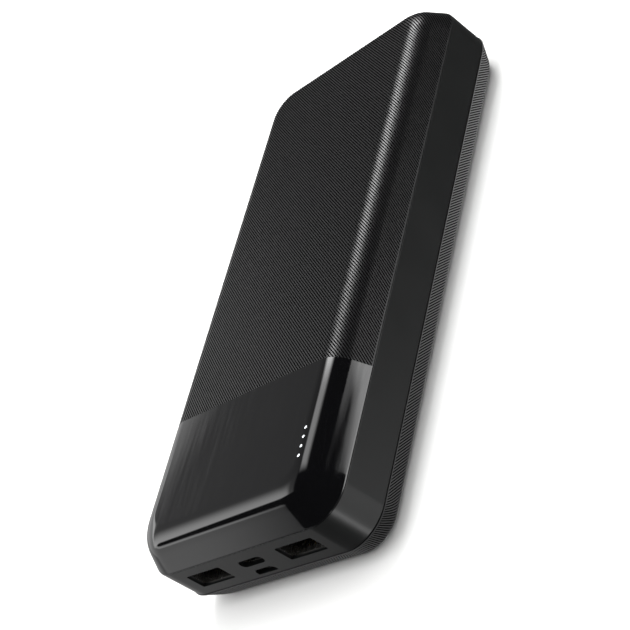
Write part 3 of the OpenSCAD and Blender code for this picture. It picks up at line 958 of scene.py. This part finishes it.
class POWERBANK_OT_power_button(bpy.types.Operator):
    """Build the power button with its flange and foot"""

    bl_idname = "powerbank.power_button"
    bl_label = "Power button"

    def execute(self, context):
        low, high = box_mm("power_button")
        middle = (low + high) / 2
        # half sizes of the face, which the flange overhangs on every side
        half_y, half_z = middle.y - low.y - BUTTON_FLANGE, (high.z - low.z) / 2 - BUTTON_FLANGE
        back = MID_LOW.x + FRAME_WALL + 0.1
        cap = add_block(
            "power_button_cap", (low.x, middle.y - half_y, middle.z - half_z),
            (back + 0.4, middle.y + half_y, middle.z + half_z), half_z - 0.01, "X", 12,
        )
        pick(cap, "EDGE", lambda spots: spots[:, 0] < low.x + HAIR)
        soften(BUTTON_EDGE, 4)
        done(cap)
        flange = add_block(
            "flange", (back, low.y, middle.z - half_z - BUTTON_FLANGE),
            (back + BUTTON_FLANGE, high.y, middle.z + half_z + BUTTON_FLANGE), 1.2, "X", 6,
        )
        plunger_low, plunger_high = box_mm("switch_plunger")
        switch_rise = (plunger_low.z + plunger_high.z) / 2
        foot = add_block(
            "foot", (back + 0.4, middle.y - 1.5, switch_rise - 0.9),
            (high.x, middle.y + 1.5, switch_rise + 0.9), 0.3, "X", 3,
        )
        combine(cap, [flange, foot], "UNION")
        smooth(cap, 30)
        coat(cap, "button_abs")
        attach(cap, "button")
        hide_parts("power_button")
        return {"FINISHED"}


class POWERBANK_OT_stage(bpy.types.Operator):
    """Set up the pale floor, the soft lights and the camera"""

    bl_idname = "powerbank.stage"
    bl_label = "Stage"

    def execute(self, context):
        finish = context.scene.powerbank_finish
        bpy.ops.object.select_all(action="DESELECT")
        bpy.ops.mesh.primitive_plane_add(size=6, location=(0, 0, 0))
        floor = settle(bpy.context.object, "floor")
        material, tree, shader, where = new_material("matt_floor")
        shader.inputs["Base Color"].default_value = tuple(finish.floor)
        shader.inputs["Roughness"].default_value = 0.8
        floor.data.materials.append(material)
        # the gloss picks up the low screens of the world and not the floor
        floor.visible_glossy = floor.visible_shadow = False

        for name, (place, target, size, power) in SOFTBOXES.items():
            bpy.ops.object.light_add(type="AREA", location=place)
            light = bpy.context.object
            light.name = name
            light.data.shape = "RECTANGLE"
            light.data.size, light.data.size_y = size
            light.data.energy = power
            light.rotation_euler = (Vector(target) - Vector(place)).to_track_quat("-Z", "Y").to_euler()
            light.visible_glossy = False
        world = bpy.data.worlds.new("studio")
        context.scene.world = world
        world.use_nodes = True
        tree = world.node_tree
        tree.nodes.clear()
        direction = put(tree, "ShaderNodeTexCoord")
        split = put(tree, "ShaderNodeSeparateXYZ", inputs={"Vector": direction.outputs["Generated"]})
        x, y, z = (split.outputs[axis] for axis in "XYZ")

        # the wall's glow falls off exponentially towards the far end
        fall = put(tree, "ShaderNodeMath", {"operation": "POWER"}, {0: math.exp(-1.8), 1: y})
        fall = put(tree, "ShaderNodeMath", {"operation": "MULTIPLY"}, {0: fall.outputs["Value"], 1: 0.5})
        above = (
            # a wall that brightens towards the port end, and stops sharply there and overhead
            (
                ((fall.outputs["Value"], ()), (1.0, ((y, 0.2, -0.26, 0.0, 2.6), (x, -0.45, -0.6)))),
                ((y, -0.33, -0.28), (x, -0.30, -0.40), (z, 0.2, 0.4)),
            ),
            # a softbox over the far right, with its sharp edge overhead
            (
                ((1.0, ((y, 0.505, 0.54, 3.6, 15.0),)),),
                ((x, -0.37, -0.25), (x, 0.14, -0.08), (y, 0.15, 0.42), (y, 0.90, 0.80), (z, 0.2, 0.5)),
            ),
            # a bright screen low on the left, brightest along its top
            (((1.0, ((z, 0.436, 0.39, 0.0, 2.6), (z, 0.33, 0.37, 0.42, 1.0))),), ((x, -0.72, -0.8),)),
            # low screens beyond the right side and the port end
            (((1.0, ((z, 0.292, 0.280, 0.0, 5.6),)),), ((x, 0.62, 0.76), (y, -0.3, 0.2), (y, 0.62, 0.52))),
            (((1.0, ((z, 0.060, 0.040, 0.0, 0.46),)),), ((y, -0.3, -0.5),)),
        )
        # what the band and the back flank reflect from below the horizon
        below = (
            (((1.0, ((y, 0.53, 0.38, 0.03, 1.03),)),), ((x, 0.45, 0.6),)),
            (((0.55, ()),), ((x, -0.70, -0.84),)),
            (((5.0, ()),), ((x, 0.36, 0.44), (x, 0.60, 0.52), (y, -0.60, -0.68))),
            (((1.0, ((y, 0.45, 0.75, 0.4, 1.9),)),), ((z, -0.6, -0.7),)),
            (((0.06, ()),), ()),
        )
        total = AMBIENT
        for screens, horizon in ((above, (z, -0.06, 0.02)), (below, (z, 0.0, -0.08))):
            half = add_screens(tree, screens, horizon)
            total = put(tree, "ShaderNodeMath", {"operation": "ADD"}, {0: total, 1: half}).outputs["Value"]
        light = put(tree, "ShaderNodeBackground", inputs={"Color": total, "Strength": 1.0})
        put(tree, "ShaderNodeOutputWorld", inputs={"Surface": light.outputs["Background"]})

        place, target = Vector(CAMERA_PLACE) * MM, Vector(CAMERA_TARGET) * MM
        bpy.ops.object.camera_add(location=place)
        camera = bpy.context.object
        aim = (target - place).to_track_quat("-Z", "Y").to_matrix()
        camera.rotation_euler = (aim @ Matrix.Rotation(CAMERA_ROLL, 3, "Z")).to_euler()
        camera.data.sensor_width = CAMERA_SENSOR
        camera.data.lens = CAMERA_LENS
        camera.data.clip_start = 0.01
        context.scene.camera = camera
        context.scene.view_settings.view_transform = "Standard"
        return {"FINISHED"}


class POWERBANK_PT_panel(bpy.types.Panel):
    """Settings and steps of the power bank"""

    bl_idname = "POWERBANK_PT_panel"
    bl_label = "Power bank"
    bl_space_type = "VIEW_3D"
    bl_region_type = "UI"
    bl_category = "Power bank"

    def draw(self, context):
        for group in (context.scene.powerbank_shape, context.scene.powerbank_finish):
            for key in group.bl_rna.properties.keys():
                if key not in ("rna_type", "name"):
                    self.layout.prop(group, key)
        for step in STEPS:
            self.layout.operator(step.bl_idname)


STEPS = (
    POWERBANK_OT_materials,
    POWERBANK_OT_front_cover,
    POWERBANK_OT_back_cover,
    POWERBANK_OT_mid_frame,
    POWERBANK_OT_socket_mouths,
    POWERBANK_OT_power_button,
    POWERBANK_OT_stage,
)
CLASSES = (PowerBankShape, PowerBankFinish) + STEPS + (POWERBANK_PT_panel,)


def register():
    for cls in CLASSES:
        bpy.utils.register_class(cls)
    bpy.types.Scene.powerbank_shape = bpy.props.PointerProperty(type=PowerBankShape)
    bpy.types.Scene.powerbank_finish = bpy.props.PointerProperty(type=PowerBankFinish)


def unregister():
    del bpy.types.Scene.powerbank_finish
    del bpy.types.Scene.powerbank_shape
    for cls in reversed(CLASSES):
        bpy.utils.unregister_class(cls)


def main():
    register()
    bpy.ops.powerbank.materials()
    bpy.ops.powerbank.front_cover()
    bpy.ops.powerbank.back_cover()
    bpy.ops.powerbank.mid_frame()
    bpy.ops.powerbank.socket_mouths()
    bpy.ops.powerbank.power_button()
    bpy.ops.powerbank.stage()


if __name__ == "__main__":
    main()
